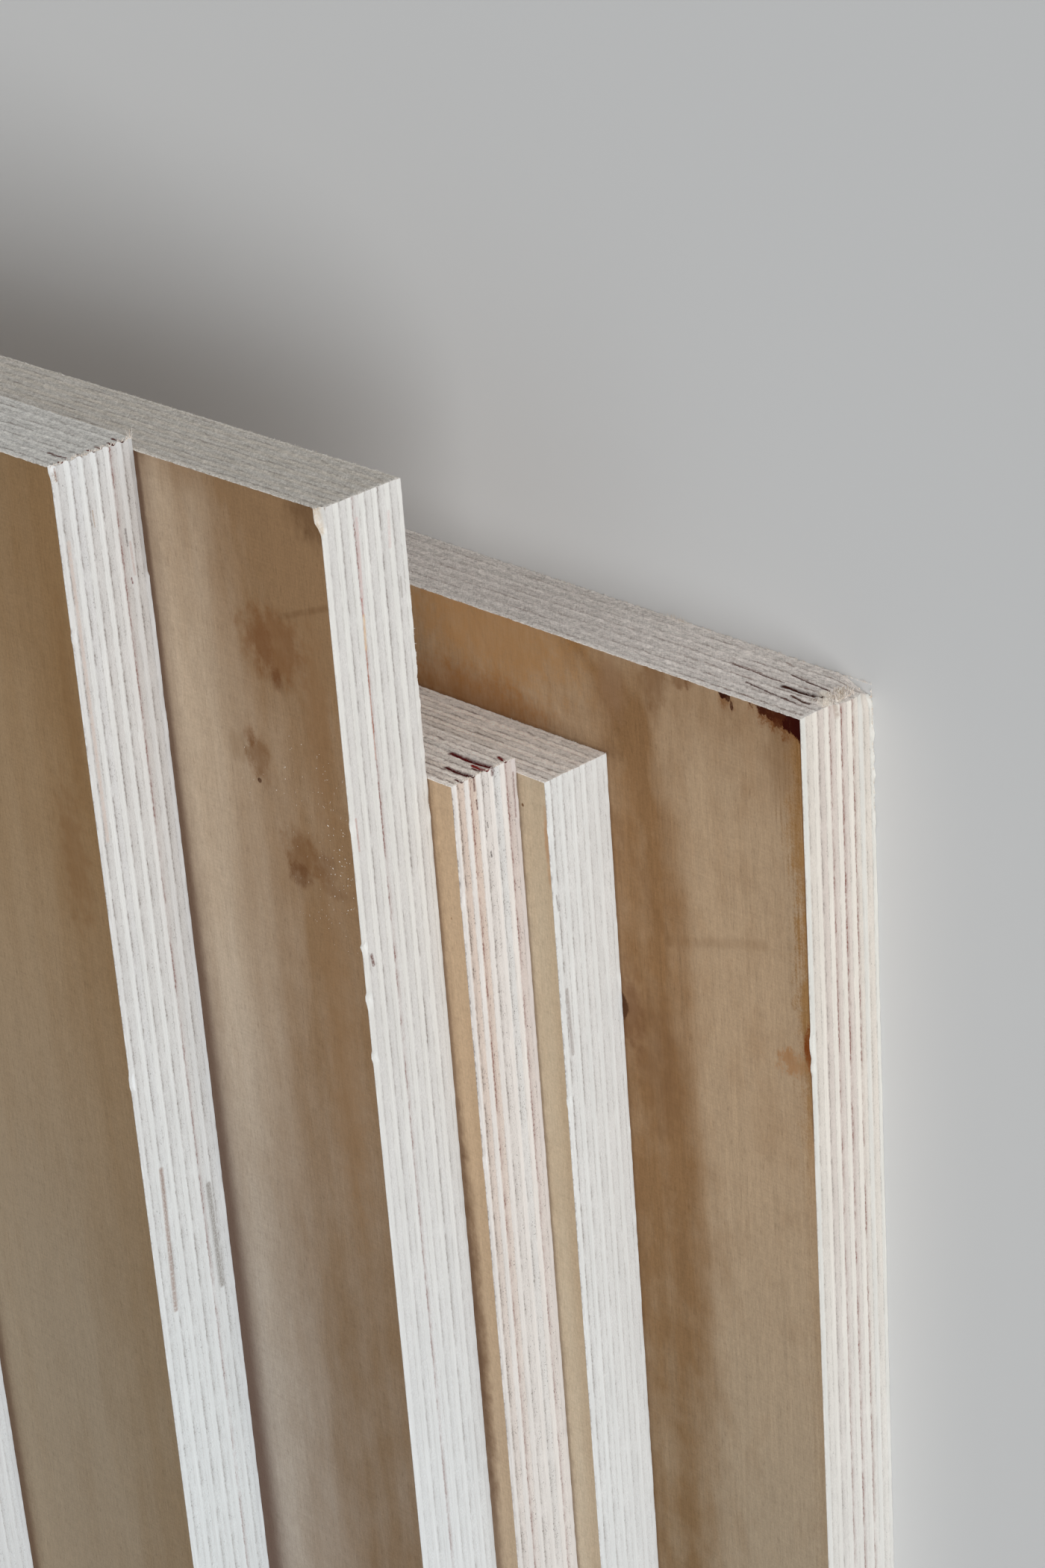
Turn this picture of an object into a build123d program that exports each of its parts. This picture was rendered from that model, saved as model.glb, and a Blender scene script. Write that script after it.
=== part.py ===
from build123d import *
import os

# A stack of six birch plywood sheets of one size, lying flat on each other, in millimetres.
# +Z is up, +Y runs along the grain of the faces, +X across it.
# The origin is the centre of the lowest sheet's underside.

# Every sheet's length along the face grain, and its width across it
SHEET_LENGTH = 1220.0
SHEET_WIDTH = 610.0

# Veneers as pressed, and the two outer ones after sanding
INNER_VENEER = 1.4
FACE_VENEER = 1.2

# Number of veneers in each kind of sheet, always odd so that both faces have the same grain
THICK_PLIES = 13
THIN_PLIES = 11

# How each sheet lies, from the lowest up, measured at the corner at +X and +Y:
# how far its end edge is set back from the lowest sheet's, how far its top edge stands out
# past the lowest sheet's, and how many degrees it is turned about that corner
STACK = [
    ("sheet_1", THICK_PLIES, 0.0, 0.0, 0.0),
    ("sheet_2", THIN_PLIES, 46.0, -19.5, 0.43),
    ("sheet_3", THIN_PLIES, 53.0, -16.8, 0.55),
    ("sheet_4", THICK_PLIES, 59.6, 37.6, 0.52),
    ("sheet_5", THICK_PLIES, 107.4, 39.4, 0.56),
    ("sheet_6", THICK_PLIES, 166.8, 25.0, 1.2),
]


def veneer_thickness(number, plies):
    """Gives the thickness of one veneer, counted from 0 at the sheet's underside."""
    if number in (0, plies - 1):
        return FACE_VENEER
    return INNER_VENEER


def veneer_kind(number, plies):
    """Says which way a veneer's grain runs: the faces and every second ply run along the sheet."""
    if number in (0, plies - 1):
        return "face_veneers"
    if number % 2 == 1:
        return "cross_plies"
    return "long_plies"


def sheet_outline(set_back, stand_out, turn):
    """Draws a sheet's outline in the stack, held at its corner at +X and +Y."""
    corner = Pos(SHEET_WIDTH / 2 - set_back, SHEET_LENGTH / 2 + stand_out)
    return corner * Rot(0, 0, turn) * Rectangle(SHEET_WIDTH, SHEET_LENGTH, align=(Align.MAX, Align.MAX))


def lay_up(plies, set_back, stand_out, turn, underside):
    """Stacks one sheet's veneers, sorts them by kind, and gives the height of its upper face."""
    outline = sheet_outline(set_back, stand_out, turn)
    layers = {"face_veneers": [], "long_plies": [], "cross_plies": []}
    height = underside
    for number in range(plies):
        thickness = veneer_thickness(number, plies)
        layers[veneer_kind(number, plies)].append(extrude(Pos(0, 0, height) * outline, thickness))
        height += thickness
    return layers, height


os.makedirs("parts", exist_ok=True)
height = 0.0
for name, plies, set_back, stand_out, turn in STACK:
    layers, height = lay_up(plies, set_back, stand_out, turn, height)
    for kind, veneers in layers.items():
        export_step(Compound(children=veneers), f"parts/{name}_{kind}.step")
print(f"stack height {height:.1f} mm")
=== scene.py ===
import math
import random

import bmesh
import bpy
from mathutils import Matrix, Vector


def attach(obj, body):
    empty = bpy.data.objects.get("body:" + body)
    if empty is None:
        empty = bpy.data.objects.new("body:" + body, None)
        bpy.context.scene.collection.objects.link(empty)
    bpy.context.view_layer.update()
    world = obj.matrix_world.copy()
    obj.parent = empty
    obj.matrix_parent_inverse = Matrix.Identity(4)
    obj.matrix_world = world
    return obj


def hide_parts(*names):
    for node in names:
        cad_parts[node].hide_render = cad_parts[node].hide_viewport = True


# A stack of six birch plywood sheets, seen close up at one corner.
# Meshes are in metres. A place on a sheet is given in mm, counted from that sheet's seen corner:
# how far in from its end edge, how far down from its top edge, and how high above its underside.

KINDS = {"face_veneers": "face_veneer", "long_plies": "long_ply", "cross_plies": "cross_ply"}

# Veneer thicknesses in mm, as the CAD sheets have them
INNER_VENEER = 1.4
FACE_VENEER = 1.2

# How much the sheets' outer arrises are eased, in mm
EASE = 0.16

# How finely the sawn edges are divided, in mm, near the seen corner and far from it
END_STEP = 0.9
TOP_STEP = 0.6
FAR_STEP = 10.0
SEEN_DOWN = 250.0
SEEN_IN = 110.0

# An edge that rises more than this stands upright through a veneer
UPRIGHT = 0.8

# Into how many parts at most an edge is divided at a time
MOST_PARTS = 24

# Into how many strips each veneer's thickness is divided near the seen corner.
# This and the other tables go by the sheets' numbers, from 1 at the bottom to 6 at the top.
STRIPS = {1: 4, 2: 2, 3: 5, 4: 2, 5: 4, 6: 2}

# The camera, as fitted to the photograph
CAMERA_AT = (0.67968, 0.86199, 0.42065)
CAMERA_TURN = (-29.159, 45.876, -5.179)
CAMERA_LENS = 85.18

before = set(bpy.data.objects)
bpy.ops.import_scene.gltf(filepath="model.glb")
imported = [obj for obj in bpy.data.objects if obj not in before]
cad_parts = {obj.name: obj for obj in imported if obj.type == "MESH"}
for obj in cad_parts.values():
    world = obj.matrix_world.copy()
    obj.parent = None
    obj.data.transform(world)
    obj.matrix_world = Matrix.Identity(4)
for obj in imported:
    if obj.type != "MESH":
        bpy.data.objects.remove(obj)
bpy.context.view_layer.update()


class Place:
    """Where one sheet lies: its seen corner, its turn and its size, read from the CAD nodes."""

    def __init__(self, number):
        self.number = number
        self.sheet = f"sheet_{number}"
        points = [v.co.copy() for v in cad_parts[f"{self.sheet}_face_veneers"].data.vertices]
        self.corner = max(points, key=lambda p: round(p.x + p.y, 6)).copy()
        other = max(points, key=lambda p: round(p.x - p.y, 6))
        self.turn = -math.atan2(self.corner.x - other.x, self.corner.y - other.y)
        self.corner.z = min(p.z for p in points)
        self.matrix = Matrix.Translation(self.corner) @ Matrix.Rotation(self.turn, 4, "Z")
        self.back = self.matrix.inverted()
        spots = [self.mm(p) for p in points]
        self.width = max(spot[0] for spot in spots)
        self.length = max(spot[1] for spot in spots)
        self.thick = max(spot[2] for spot in spots)
        self.plies = round((self.thick - 2 * FACE_VENEER) / INNER_VENEER) + 2

    def mm(self, point):
        """Gives a point's place on the sheet."""
        p = self.back @ point
        return -p.x * 1000, -p.y * 1000, p.z * 1000

    def point(self, inward, down, height):
        """Gives the point at a place on the sheet."""
        return self.matrix @ (Vector((-inward, -down, height)) / 1000)


PLACES = {number: Place(number) for number in STRIPS}


class Wire:
    """One output of a shader node. Arithmetic on it adds Math nodes."""

    def __init__(self, socket):
        self.socket = socket

    def node(self, kind, settings, inputs, output=0):
        """Adds a node: its settings first, then its sockets' values or links."""
        tree = self.socket.id_data
        made = tree.nodes.new(kind)
        for name, value in settings.items():
            if name == "stops":
                while len(made.color_ramp.elements) < len(value):
                    made.color_ramp.elements.new(0.5)
                for element, (position, tone) in zip(made.color_ramp.elements, value):
                    element.position = position
                    element.color = tone
            elif name == "interpolation":
                made.color_ramp.interpolation = value
            else:
                setattr(made, name, value)
        for name, value in inputs.items():
            if isinstance(value, Wire):
                tree.links.new(value.socket, made.inputs[name])
            else:
                made.inputs[name].default_value = value
        return Wire(made.outputs[output])

    def beside(self, output):
        """Gives another output of the same node."""
        return Wire(self.socket.node.outputs[output])

    def maths(self, operation, *others):
        """Adds a Math node with this wire as its first input."""
        return self.node("ShaderNodeMath", {"operation": operation}, dict(enumerate([self, *others])))

    def vector(self, operation, other, output=0):
        """Adds a Vector Math node with this wire as its first input."""
        return self.node("ShaderNodeVectorMath", {"operation": operation}, {0: self, 1: other}, output)

    def __add__(self, other):
        return self.maths("ADD", other)

    def __mul__(self, other):
        return self.maths("MULTIPLY", other)

    def __sub__(self, other):
        return self.maths("SUBTRACT", other)

    def __rsub__(self, other):
        return self.node("ShaderNodeMath", {"operation": "SUBTRACT"}, {0: other, 1: self})

    def __truediv__(self, other):
        return self.maths("DIVIDE", other)

    __radd__ = __add__
    __rmul__ = __mul__

    def spread(self, start, end, low=0.0, high=1.0):
        """Goes smoothly from low to high while this wire goes from start to end."""
        inputs = {"Value": self, "From Min": start, "From Max": end, "To Min": low, "To Max": high}
        return self.node("ShaderNodeMapRange", {"interpolation_type": "SMOOTHSTEP"}, inputs)

    def clamped(self):
        """Keeps this wire between 0 and 1."""
        return self.node("ShaderNodeClamp", {}, {"Value": self})

    def noise(self, stretch, detail=2.0, rough=0.5):
        """Makes a noise with so many grains to the mm across the sheet, along it and through it."""
        spots = self.vector("MULTIPLY", stretch)
        inputs = {"Vector": spots, "Scale": 1.0, "Detail": detail, "Roughness": rough}
        return self.node("ShaderNodeTexNoise", {}, inputs)

    def away(self, middle, radii):
        """Gives how far a place is from the middle of an oval, counted in its radii."""
        inward, down, height = middle
        apart = self.vector("SUBTRACT", (-inward, -down, height))
        scaled = apart.vector("MULTIPLY", tuple(1 / radius for radius in radii))
        return scaled.node("ShaderNodeVectorMath", {"operation": "LENGTH"}, {0: scaled}, 1)

    def stroke(self, start, end, width):
        """Gives 1 along a line between two places, softly going to 0 at its width."""
        first = Vector((-start[0], -start[1], start[2]))
        span = Vector((-end[0], -end[1], end[2])) - first
        apart = self.vector("SUBTRACT", tuple(first))
        reach = apart.vector("DOT_PRODUCT", tuple(span / span.length_squared), 1).clamped()
        inputs = {0: tuple(span), "Scale": reach}
        nearest = reach.node("ShaderNodeVectorMath", {"operation": "SCALE"}, inputs)
        return (apart.vector("DISTANCE", nearest, 1) / width).spread(1.0, 0.2)

    def blend(self, first, second):
        """Mixes two colours by this wire."""
        return self.node("ShaderNodeMix", {"data_type": "RGBA"}, {0: self, 6: first, 7: second}, 2)

    def halfway(self, other):
        """Mixes two colours evenly."""
        return self.node("ShaderNodeMix", {"data_type": "RGBA"}, {0: 0.5, 6: self, 7: other}, 2)

    def shaded(self, shade):
        """Makes a colour lighter or darker."""
        return self.node("ShaderNodeVectorMath", {"operation": "SCALE"}, {0: self, "Scale": shade})

    def sideways(self, share):
        """Makes a shift of a place in and up, by a share of this wire."""
        return self.node("ShaderNodeCombineXYZ", {}, {"X": self * share, "Z": self * share})

    def steps(self, count, tones):
        """Looks a whole number up in a list of tones."""
        stops = [(i / count, tone) for i, tone in enumerate(tones)]
        place = (self + 0.5) / count
        settings = {"stops": stops, "interpolation": "CONSTANT"}
        return place.node("ShaderNodeValToRGB", settings, {"Fac": place})

    def bump(self, strength, depth):
        """Turns a height into a normal, with the depth in mm."""
        inputs = {"Height": self, "Strength": strength, "Distance": depth / 1000}
        return self.node("ShaderNodeBump", {}, inputs)


def colour(red, green, blue, strength=1.0):
    """Turns a colour as a screen shows it, 0 to 255, into the shader's linear values."""
    return (*(((c / 255 + 0.055) / 1.055) ** 2.4 for c in (red, green, blue)), strength)


def start_material(name, place):
    """Makes a material. Gives it, its shader and a wire with the place on the sheet in mm."""
    material = bpy.data.materials.new(name)
    material.use_nodes = True
    tree = material.node_tree
    shader = tree.nodes["Principled BSDF"]
    coordinates = Wire(tree.nodes.new("ShaderNodeTexCoord").outputs["Object"])
    inputs = {"Vector": coordinates, "Location": tuple(place.corner), "Rotation": (0, 0, place.turn)}
    inputs["Scale"] = (0.001, 0.001, 0.001)
    mm = coordinates.node("ShaderNodeMapping", {"vector_type": "TEXTURE"}, inputs)
    return material, shader, mm


def feed(shader, socket, wire):
    """Links a wire to one of the shader's sockets."""
    shader.id_data.links.new(wire.socket, shader.inputs[socket])


def dress(shader, tone, roughness, shine):
    """Gives the shader its colour, and sets how rough it is and how much it shines."""
    feed(shader, "Base Color", tone)
    shader.inputs["Roughness"].default_value = roughness
    shader.inputs["Specular IOR Level"].default_value = shine


def numbers(mm):
    """Splits a place into how far in, how far down and how high it is."""
    across = mm.node("ShaderNodeSeparateXYZ", {}, {0: mm})
    return 0 - across, 0 - across.beside(1), across.beside(2)


# Tones of the veneers on the sawn edges, as they look in soft light
TONES = {
    "white": (220, 219, 214),
    "bright": (227, 221, 213),
    "pale": (217, 215, 210),
    "grey": (212, 210, 206),
    "taupe": (207, 204, 199),
    "dark": (198, 193, 187),
    "cream": (218, 211, 203),
    "pink": (212, 202, 195),
    "tan": (207, 194, 185),
    "orange": (213, 194, 178),
}

# Each sheet's veneers from its underside up
LAYERS = {
    1: "white cream pale cream bright pink bright pink bright pink bright cream white",
    2: "white pale " * 5 + "white",
    3: "pink tan bright pale bright cream bright orange bright orange bright",
    4: "white grey " * 6 + "white",
    5: "taupe dark taupe dark pale taupe white taupe white grey white taupe pale",
    6: "white grey cream taupe white grey white grey white pink white grey white",
}

# The end edges: the tone that each fades to away from the seen corner, how much it is raised,
# in red, green and blue, for the light that falls on it, and how dark its cross plies' pores are
END_TONES = {
    1: ((216, 216, 214), (1.09, 1.08, 1.06), 0.35),
    2: ((217, 218, 216), (1.19, 1.23, 1.28), 0.3),
    3: ((217, 213, 207), (1.135, 1.155, 1.2), 0.75),
    4: ((215, 219, 220), (1.13, 1.125, 1.13), 0.15),
    5: ((215, 218, 216), (1.16, 1.19, 1.24), 0.48),
    6: ((214, 216, 215), (1.135, 1.16, 1.2), 0.4),
}

# Where they start and end to fade. On sheet 3 that starts above the seen corner.
FADE_START = 40
FADE_START_SHEET_3 = -30
FADE_END = 230

# Where the wood turns plain, beyond what the photograph shows
PLAIN_DOWN_ENDS = (270, 430)
PLAIN_DOWN_FACES = (230, 430)
PLAIN_IN_FACES = (115, 230)

# How dark the glue shows at the upper side of each cross ply, from the underside up,
# and the joints where it shows red
GLUE = {
    1: ((0.35, 1, 1.2, 0.85, 0.65, 0.4), (4, 6, 8)),
    2: ((0.2, 0.3, 0.4, 0.5, 0.7), ()),
    3: ((0.8, 0.6, 0.8, 1, 1), (2, 8)),
    4: ((0.5, 0.8, 0.5, 1, 0.6, 0.3), (8,)),
    5: ((0.7, 0.9, 0.8, 0.7, 0.7, 0.6), (4,)),
    6: ((0.4, 0.5, 0.6, 0.5, 0.5, 0.4), ()),
}
LOWER_GLUE = 0.3
DARK_GLUE = (112, 98, 90)
RED_GLUE = (122, 64, 50)

# Stains on the end edges: from, to, width, colour, strength
END_STAINS = {
    1: [((0, 0, 9.5), (0, 2.5, 9), 0.9, (150, 120, 100), 0.5)],
    2: [
        ((0, 41, 13.3), (0, 54, 12.9), 0.6, (150, 138, 132), 0.6),
        ((0, 22, 14.2), (0, 25, 13.9), 0.3, (120, 108, 102), 0.6),
    ],
    3: [
        ((0, 0, 9.9), (0, 2.6, 9.9), 0.4, (84, 38, 32), 0.75),
        ((0, 4.5, 9.7), (0, 6.2, 9.6), 0.3, (84, 44, 38), 0.8),
        ((0, 0, 5.6), (0, 1.2, 5.6), 0.5, (90, 42, 36), 0.8),
        ((0, 15.3, 7.3), (0, 16.2, 7.2), 0.28, (60, 52, 50), 0.9),
        ((0, 9.5, 7.6), (0, 10.5, 7.5), 0.2, (90, 80, 76), 0.8),
        ((0, 2.5, 0.8), (0, 11, 0.9), 0.3, (122, 76, 68), 0.6),
    ],
    4: [
        ((0, 82, 16), (0, 84, 15.7), 0.5, (110, 74, 66), 0.9),
        ((0, 56, 16.5), (0, 62, 16.4), 0.3, (190, 150, 140), 0.6),
        ((0, 4, 10.2), (0, 18, 10.6), 0.5, (212, 180, 176), 0.5),
        ((0, 18, 10.7), (0, 21, 10.7), 0.3, (176, 108, 100), 0.6),
        ((0, 21, 10.6), (0, 27, 10.8), 0.4, (224, 190, 150), 0.7),
        ((0, 27, 10.8), (0, 47, 10.9), 0.2, (188, 128, 104), 0.6),
        ((0, 5, 3.3), (0, 11, 3.6), 0.5, (214, 190, 186), 0.5),
        ((0, 17, 1.9), (0, 20.5, 1.95), 0.3, (172, 166, 160), 0.7),
        ((1.3, 0, 17.5), (0.6, 4, 17.6), 1.1, (198, 174, 144), 0.7),
        ((0, 0, 16.7), (0, 3.4, 17.4), 0.3, (128, 98, 66), 0.85),
    ],
    5: [
        ((0, 138, 13.6), (0, 168, 14.3), 0.75, (158, 134, 122), 0.75),
        ((0, 146, 3.4), (0, 168, 3.1), 0.9, (140, 134, 128), 0.75),
        ((0, 15.4, 4), (0, 18.4, 3.9), 0.3, (122, 114, 112), 0.7),
        ((0, 24.4, 3.9), (0, 25.4, 3.8), 0.22, (112, 58, 60), 0.9),
        ((0, 18, 3.3), (0, 24, 3.1), 0.4, (186, 150, 138), 0.4),
        ((0, 10, 10.3), (0, 13, 10.2), 0.2, (168, 136, 106), 0.6),
        ((0, 14, 16), (0, 70, 15.9), 0.6, (216, 190, 174), 0.45),
        ((0, 0.6, 17), (0, 2.6, 16.8), 0.35, (140, 104, 88), 0.8),
    ],
}


def layers(place, mm, height):
    """Gives the tone, whether it is a cross ply, and the nearest joint's distance, number and glue."""
    ragged = mm.noise((1.3, 1.1, 1), 1) - 0.5
    count = (height + ragged * 0.34 + (INNER_VENEER - FACE_VENEER)) / INNER_VENEER
    wider = count - (count * math.pi).maths("COSINE") * 0.09
    tones = [colour(*TONES[word]) for word in LAYERS[place.number].split()]
    upper = (wider + 0.07).maths("FLOOR")
    lower = (wider - 0.07).maths("FLOOR")
    tone = upper.steps(place.plies, tones).halfway(lower.steps(place.plies, tones))
    cross = (upper.maths("MODULO", 2) + lower.maths("MODULO", 2)) * 0.5

    raised = count + 0.12
    joint = raised.maths("ROUND")
    upper_glue, red_joints = GLUE[place.number]
    lines = [colour(*DARK_GLUE, 0)]
    for i in range(1, place.plies):
        ink = RED_GLUE if i in red_joints else DARK_GLUE
        strength = LOWER_GLUE if i % 2 else upper_glue[i // 2 - 1]
        lines.append(colour(*ink, strength))
    ink = joint.steps(place.plies, lines)
    gap = (raised - joint) * INNER_VENEER
    return tone, cross, gap, joint, ink


def end_edge(place):
    """Makes the sawn end: smooth long plies, porous cross plies, and broken dark lines of glue."""
    material, shader, mm = start_material(f"{place.sheet}_end_edge", place)
    _, down, height = numbers(mm)
    tone, cross, gap, _, ink = layers(place, mm, height)
    faded, lift, pores = END_TONES[place.number]

    fibres = mm.noise((0.3, 0.06, 4.6), 2, 0.6)
    grain = mm.noise((2.4, 1.9, 3.6), 2, 0.7)
    dashes = mm.noise((0.4, 0.2, 0.7), 3, 0.72)
    patches = mm.noise((0.05, 0.045, 0.6), 1)

    pits = grain.spread(0.55, 0.68) * dashes.spread(0.4, 0.6) * pores
    smooth = fibres.spread(0.3, 0.7, 0.95, 1.04)
    porous = grain.spread(0.3, 0.7, 0.91, 1.05) * (1 - pits)
    shade = (smooth + (porous - smooth) * cross) * patches.spread(0.3, 0.7, 0.97, 1.02)
    beyond = down.spread(*PLAIN_DOWN_ENDS)
    shade = shade * (1 - cross * beyond * 0.16)
    fade_start = FADE_START_SHEET_3 if place.number == 3 else FADE_START
    fade = down.spread(fade_start, FADE_END) - beyond
    clear = 1 - fade * 0.6

    off = gap.maths("ABSOLUTE")
    drawn = dashes.spread(0.36, 0.62)
    dotted = grain.spread(0.36, 0.56, 0.35, 1)
    line = (off / grain.spread(0.35, 0.65, 0.08, 0.22)).spread(1.3, 0.3)
    line = line * drawn * dotted * ink.beside(1) * clear
    halo = (off / gap.spread(0.1, -0.1, 0.3, 1)).spread(1, 0)
    halo = halo * (0.5 + drawn) * ink.beside(1) * 0.22

    wood = fade.blend(tone, colour(*faded)).vector("MULTIPLY", lift).shaded(shade)
    edge = (line * 0.85).blend(halo.blend(wood, ink), ink)
    for start, end, wide, stain, strength in END_STAINS.get(place.number, ()):
        ragged = mm.stroke(start, end, wide) * grain.spread(0.35, 0.55, 0.45, 1) * strength
        edge = ragged.blend(edge, colour(*stain))
    dress(shader, edge, 0.8, 0.2)
    feed(shader, "Normal", grain.bump(0.35, 0.2))
    return material


# Tones of the top edges: the wood, its dark seams, how coarse the sawing left it,
# and how dark the seams are at the upper and the lower side of the cross plies
TOP_TONES = {
    1: ((232, 223, 216), (120, 88, 74), 1, 0.72, 0.34),
    # Sheets 2 and 3 have their wood painted lighter, as painted light in the recess under sheet 4
    2: ((250, 240, 231), (118, 94, 82), 0.7, 0.7, 0.5),
    3: ((250, 240, 231), (104, 78, 68), 0.8, 0.8, 0.55),
    4: ((204, 196, 185), (112, 92, 78), 0.85, 0.46, 0.3),
    5: ((223, 220, 214), (110, 90, 78), 1, 0.5, 0.34),
    6: ((218, 212, 204), (112, 96, 86), 0.9, 0.46, 0.32),
}

# Splits in the top edges, and pale ridges of torn wood: from, to, width, colour
SPLITS = {
    1: [
        ((3.9, 0, 7.6), (0.8, 0, 10.8), 1.5, (250, 240, 226)),
        ((3, 0, 4.6), (0.9, 0, 7.4), 0.8, (250, 242, 230)),
        ((11, 0, 9.8), (3.2, 0, 9.2), 0.85, (62, 26, 15)),
        ((7.4, 0, 11.8), (2.9, 0, 12.5), 0.45, (88, 54, 42)),
        ((17, 0, 12.4), (5, 0, 13.6), 0.32, (104, 78, 72)),
        ((13, 0, 5.6), (4, 0, 6.4), 0.35, (100, 74, 66)),
        ((24, 0, 8.2), (12, 0, 8.6), 0.3, (112, 86, 78)),
    ],
    3: [
        ((10, 0, 5.7), (0.6, 0, 5.3), 0.95, (92, 18, 20)),
        ((6.4, 0, 10.2), (0.2, 0, 9.9), 0.8, (78, 16, 16)),
        ((3.4, 0, 6.9), (-0.4, 0, 6.5), 0.7, (136, 40, 38)),
        ((2.4, 0, 1.7), (-0.2, 0, 2.3), 0.55, (112, 34, 32)),
        ((2.6, 0, 7.7), (0.6, 0, 7.5), 0.4, (94, 44, 40)),
        ((1.6, 0, 12.6), (-0.2, 0, 12.5), 0.4, (92, 48, 44)),
    ],
    5: [
        ((6.2, 0, 13.4), (1.6, 0, 13.2), 0.34, (112, 84, 78)),
        ((2.6, 0, 2.5), (0, 0, 2.2), 0.45, (100, 56, 50)),
        ((1.6, 0, 8.6), (-0.2, 0, 8.5), 0.45, (108, 52, 46)),
        ((1.4, 0, 4.3), (-0.1, 0, 4.1), 0.45, (92, 50, 44)),
        ((1.8, 0, 6.9), (0, 0, 6.8), 0.34, (118, 82, 74)),
        ((1.2, 0, 11.2), (-0.1, 0, 11.1), 0.36, (116, 72, 62)),
        ((1, 0, 15.2), (-0.1, 0, 15.1), 0.34, (112, 68, 58)),
    ],
}
PALE_FUZZ = (240, 235, 228)

# A stroke that is redder than this is a pale ridge, and isn't sunk
PALEST_SPLIT = 200


def top_edge(place):
    """Makes the sawn top: coarse end grain, dark broken seams along the plies, and pale fuzz."""
    material, shader, mm = start_material(f"{place.sheet}_top_edge", place)
    inward, _, height = numbers(mm)
    tone, cross, gap, joint, _ = layers(place, mm, height)
    wood, dark, coarse, upper_seams, lower_seams = TOP_TONES[place.number]

    grains = mm.noise((1.2, 1.5, 2.6), 3, 0.8) - 0.5
    streaks = mm.noise((0.11, 0.5, 1.3), 3, 0.6)
    slanted = mm.node("ShaderNodeMapping", {}, {"Vector": mm, "Rotation": (0, math.radians(48), 0)})
    hairs = slanted.noise((0.5, 1, 4), 2, 0.65) - 0.5

    clumps = mm.noise((0.5, 0.6, 0.9), 2, 0.6) - 0.5
    shade = 1 + grains * (1.6 * coarse) + clumps * (0.8 * coarse) + hairs * (0.5 * coarse)
    shade = shade + (streaks - 0.5) * -0.4
    base = (cross * 0.3).blend(colour(*wood), tone).shaded(shade * (1.06 - cross * 0.08))
    # Sheet 1's top edge is painted darker further in, as painted shade under the sheets above
    if place.number == 1:
        base = base.shaded(inward.spread(24, 70, 1, 0.84))
    odd = joint.maths("MODULO", 2)
    worn = streaks.spread(0.3, 0.66) * (upper_seams + (lower_seams - upper_seams) * odd)
    breaks = mm.noise((0.4, 0.5, 1.6), 2, 0.6)
    worn = worn * breaks.spread(0.38, 0.56, 0.3, 1.1)
    width = streaks.spread(0.35, 0.65, 0.26, 0.46)
    seam = (((gap + clumps * 0.9).maths("ABSOLUTE") + grains * 0.6) / width).spread(1.2, 0) * worn
    if place.number == 1:
        seam = seam * inward.spread(10, 50, 1.1, 0.5)
    lined = seam.blend(base, colour(*dark))

    low_arris = height.spread(1, 0.1)
    high_arris = (place.thick - height).spread(1, 0.1)
    near_end = inward.spread(1.4, 0.2)
    fuzzy = (low_arris + high_arris + near_end) * grains.spread(-0.1, 0.08) * (0.25 + 0.5 * coarse)
    flecks = grains.spread(0.06, 0.2) * (0.55 * coarse)
    pale = (flecks + hairs.spread(0.08, 0.2) * (0.55 * coarse) + fuzzy).maths("MINIMUM", 1)
    edge = pale.blend(lined, colour(*PALE_FUZZ))
    wavy = mm.vector("ADD", grains.sideways(0.9)).vector("MULTIPLY", (1, 0.02, 1))
    for start, end, wide, ink in SPLITS.get(place.number, ()):
        edge = wavy.stroke(start, end, wide).blend(edge, colour(*ink))
    dress(shader, edge, 0.9, 0.06)
    feed(shader, "Normal", (grains * 1.3 + hairs * 0.6).bump(0.8, 0.4))
    return material


# The faces' tones: pale, deep, of the pores, and how the colour shifts far down the face
FACES = {
    1: ((179, 153, 124), (141, 107, 73), (112, 79, 50), (0.8, 0.9, 1)),
    2: ((197, 180, 155), (178, 154, 125), (152, 125, 95), (0.97, 1, 1.05)),
    3: ((198, 171, 141), (182, 154, 123), (152, 121, 91), (0.86, 0.93, 1.02)),
    4: ((191, 171, 148), (145, 115, 84), (112, 81, 53), (0.83, 0.92, 1.06)),
    5: ((158, 133, 103), (141, 112, 79), (112, 85, 57), (0.9, 1.04, 1.26)),
    6: ((160, 135, 105), (144, 118, 87), (118, 91, 63), (1, 1, 1)),
}

# The plain birch beyond what the photograph shows, which is all of sheet 6's face
PLAIN_PALE = (193, 172, 144)
PLAIN_DEEP = (165, 139, 108)

# How the face of sheet 1 is coloured along its golden rim, in red, green and blue
GOLDEN_RIM = (0.76, 0.56, 0.3)

# Painted shade along the foot of the sheet above: its width at the top, how much it widens,
# how dark it is, and how far its soft edge reaches. Far from the seen corner a share of it stays.
FEET = {
    1: (0.8, 0, 0.3, 3),
    2: (0.6, 0.002, 0.45, 0.8),
    3: (0.7, 0.01, 0.6, 1.4),
    4: (1.2, 0.027, 0.85, 4.2),
    5: (1.2, 0.01, 0.7, 3),
}
# The painted shade's colours: its soft outer band and its darker core at the contact line
FOOT_SOFT_SHADE = (80, 50, 30)
FOOT_DEEP_SHADE = (70, 38, 24)
FOOT_FAR_SHARE = 0.12
FOOT_DOWN = 1200
FOOT_IN = 600

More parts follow.
